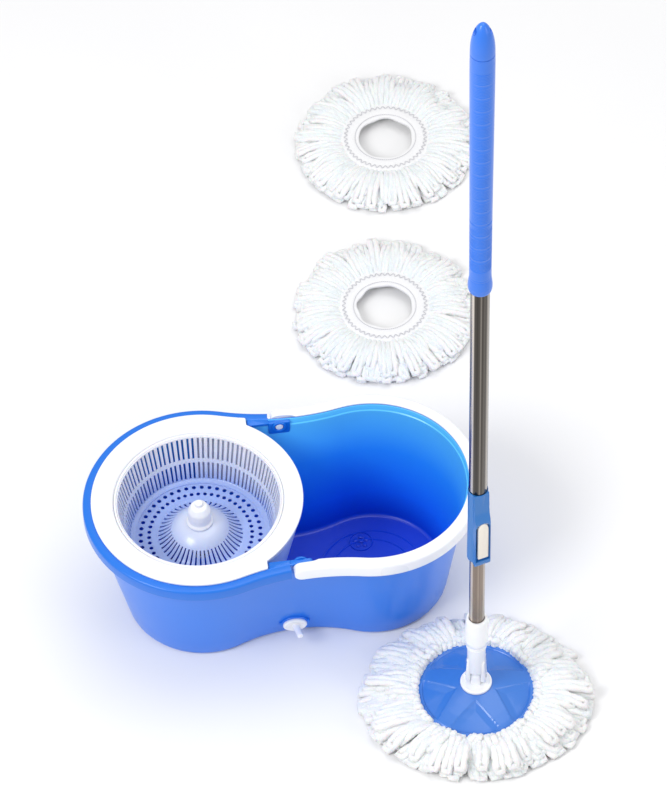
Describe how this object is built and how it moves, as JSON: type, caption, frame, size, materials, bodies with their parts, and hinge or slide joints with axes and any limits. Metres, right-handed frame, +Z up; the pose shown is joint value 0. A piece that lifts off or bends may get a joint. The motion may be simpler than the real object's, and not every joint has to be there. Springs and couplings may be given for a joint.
{
  "type": "spin mop set",
  "caption": "Two-lobed wash bucket with a wringer basket, a pump-action mop with a round fibre head, and spare round fibre refills.",
  "frame": {"origin": "the bucket's flat underside, between its two lobes, on the floor", "axes": "+X from the spinner lobe to the wash lobe, +Y away from the drain plug, +Z up"},
  "size_m": [0.6032, 1.1752, 1.22],
  "materials": {
    "bucket_blue": "glossy moulded polypropylene, bright blue",
    "grip_blue": "satin moulded plastic with moulded ribs, bright blue",
    "plate_blue": "satin moulded plastic, mid blue",
    "sleeve_blue": "satin moulded plastic, slightly greener blue",
    "white_plastic": "glossy white plastic",
    "nylon": "natural nylon",
    "ivory_plastic": "satin ivory plastic",
    "stainless_tube": "bright drawn stainless steel",
    "zinc_steel": "zinc-plated steel",
    "seal_rubber": "soft grey rubber",
    "microfibre": "thick looped white microfibre yarn",
    "felt_band": "white felt with zig-zag stitching"
  },
  "bodies": {
    "bucket": {"bucket_shell": "bucket_blue", "spindle_post": "bucket_blue", "bearing_bush": "nylon", "thrust_washer": "zinc_steel"},
    "handle": {"carry_handle": "white_plastic"},
    "plug": {"drain_plug": "white_plastic", "plug_seal": "seal_rubber"},
    "collar": {"splash_collar": "white_plastic"},
    "basket": {"spin_basket": "white_plastic", "hub_knob": "white_plastic", "basket_spindle": "zinc_steel", "spindle_spacer": "white_plastic"},
    "mop_head": {"pivot_block": "white_plastic", "head_plate": "plate_blue", "base_screw_1": "zinc_steel", "base_screw_2": "zinc_steel", "base_screw_3": "zinc_steel", "base_screw_4": "zinc_steel", "refill_ring": "white_plastic", "head_fibres": "microfibre"},
    "lower_stage": {"yoke": "white_plastic", "tilt_pin": "zinc_steel", "ferrule": "white_plastic", "lower_tube": "stainless_tube", "drive_nut": "nylon"},
    "pump_bush": {"guide_bush": "nylon"},
    "pole": {"grip": "grip_blue", "grip_cap": "grip_blue", "upper_tube": "stainless_tube", "twist_rod": "zinc_steel", "rod_anchor": "nylon", "lock_sleeve": "sleeve_blue", "lever_pin": "zinc_steel"},
    "lever": {"lock_lever": "ivory_plastic"},
    "spare_1": {"spare_fibres_1": "microfibre", "spare_band_1": "felt_band"},
    "spare_2": {"spare_fibres_2": "microfibre", "spare_band_2": "felt_band"}
  },
  "joints": [
    {"name": "handle_swing", "type": "hinge", "parent": "bucket", "child": "handle", "pos_m": [0.009, 0, 0.183], "axis": [0, -1, 0], "range_deg": [0, 95]},
    {"name": "plug_pull", "type": "slide", "parent": "bucket", "child": "plug", "axis": [0, -1, 0], "range_m": [0, 0.03]},
    {"name": "collar_lift", "type": "slide", "parent": "bucket", "child": "collar", "axis": [0, 0, 1], "range_m": [0, 0.15]},
    {"name": "basket_spin", "type": "hinge", "parent": "collar", "child": "basket", "pos_m": [-0.104, 0, 0.15], "axis": [0, 0, 1], "continuous": true},
    {"name": "mop_lift", "type": "slide", "parent": "bucket", "child": "mop_head", "axis": [0.1447, -0.3099, 0.9397], "range_m": [0, 0.25]},
    {"name": "pole_tilt", "type": "hinge", "parent": "mop_head", "child": "lower_stage", "pos_m": [0.21, -0.214, 0.0565], "axis": [0.9613, -0.2756, 0], "range_deg": [-80, 80]},
    {"name": "handle_pump", "type": "slide", "parent": "lower_stage", "child": "pump_bush", "axis": [0, 0, -1], "range_m": [0, 0.085]},
    {"name": "pole_spin", "type": "hinge", "parent": "pump_bush", "child": "pole", "pos_m": [0.21, -0.214, 0.3], "axis": [0, 0, -1], "range_deg": [0, 308]},
    {"name": "lever_flip", "type": "hinge", "parent": "pole", "child": "lever", "pos_m": [0.21386, -0.22839, 0.376], "axis": [-0.9659, -0.2588, 0], "range_deg": [0, 75]},
    {"name": "spare_lift_1", "type": "slide", "parent": "bucket", "child": "spare_1", "axis": [0, 0, 1], "range_m": [0, 0.15]},
    {"name": "spare_lift_2", "type": "slide", "parent": "bucket", "child": "spare_2", "axis": [0, 0, 1], "range_m": [0, 0.15]}
  ],
  "couplings": [
    {"joint": "pole_spin", "follows": "handle_pump", "rad_per_m": 62.832}
  ]
}
